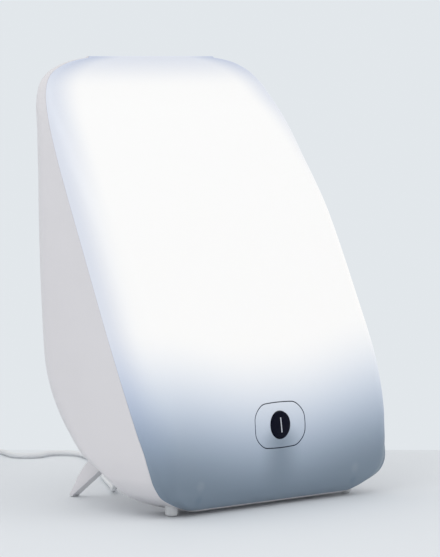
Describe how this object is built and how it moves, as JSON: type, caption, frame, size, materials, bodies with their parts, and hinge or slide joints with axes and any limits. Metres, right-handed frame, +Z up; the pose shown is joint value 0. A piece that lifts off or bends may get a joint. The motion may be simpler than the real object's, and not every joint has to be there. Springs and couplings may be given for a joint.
{
  "type": "light therapy lamp",
  "caption": "Table-top light therapy lamp: a wedge-shaped white body with a large milky front, a round push button low on the front, and fold-out legs at the back.",
  "frame": {"origin": "middle of the width and of the whole depth, at the height the lamp stands on", "axes": "+Z up, the lit face looks along -Y, +X to the right of someone facing it"},
  "size_m": [0.348, 0.5815, 0.46],
  "materials": {
    "diffuser": "milky acrylic, lit from behind in its upper part",
    "white_shell": "moulded white plastic with a soft sheen",
    "dark_plastic": "dark moulded plastic",
    "reflector": "bright bent sheet",
    "tube_glass": "white phosphor-coated glass tube",
    "socket_plastic": "heat-proof moulded plastic",
    "pin_brass": "turned",
    "pin_nickel": "nickel plated",
    "spring_steel": "plain strip and wire",
    "case_steel": "zinc-grey sheet",
    "button_black": "polished black plastic",
    "mark_grey": "pale grey inlay",
    "screw_steel": "zinc plated",
    "foot_rubber": "soft and matt",
    "cord_white": "soft white cable jacket"
  },
  "bodies": {
    "housing": {"front_cover": "diffuser", "switch_panel": "white_shell", "panel_frame": "dark_plastic", "rear_housing": "white_shell", "reflector_tray": "reflector", "left_tube": "tube_glass", "right_tube": "tube_glass", "left_tube_base": "socket_plastic", "right_tube_base": "socket_plastic", "left_tube_pins": "pin_brass", "right_tube_pins": "pin_brass", "left_lamp_holder": "socket_plastic", "right_lamp_holder": "socket_plastic", "left_tube_clip": "spring_steel", "right_tube_clip": "spring_steel", "ballast": "case_steel", "terminal_block": "socket_plastic", "switch_bracket": "spring_steel", "switch_body": "dark_plastic", "button_spring": "spring_steel", "tray_screws": "screw_steel", "housing_screws": "screw_steel", "left_foot": "foot_rubber", "right_foot": "foot_rubber", "hinge_pins": "screw_steel", "strain_relief": "cord_white", "mains_cord": "cord_white", "cord_tail": "cord_white", "cord_coil": "cord_white", "coil_tie": "button_black", "plug": "cord_white", "plug_pins": "pin_nickel"},
    "button": {"button_cap": "button_black", "button_mark": "mark_grey"},
    "left_leg": {"left_leg": "white_shell", "left_leg_pad": "foot_rubber"},
    "right_leg": {"right_leg": "white_shell", "right_leg_pad": "foot_rubber"}
  },
  "joints": [
    {"name": "button_press", "type": "slide", "parent": "housing", "child": "button", "axis": [0, 1, 0], "range_m": [0, 0.003], "stiffness_N_per_m": 500, "springref_m": -0.002, "deforming": ["button_spring"]},
    {"name": "left_leg_fold", "type": "hinge", "parent": "housing", "child": "left_leg", "pos_m": [-0.093, 0.04, 0.057], "axis": [1, 0, 0], "range_deg": [0, 85]},
    {"name": "right_leg_fold", "type": "hinge", "parent": "housing", "child": "right_leg", "pos_m": [0.093, 0.04, 0.057], "axis": [1, 0, 0], "range_deg": [0, 85]}
  ]
}
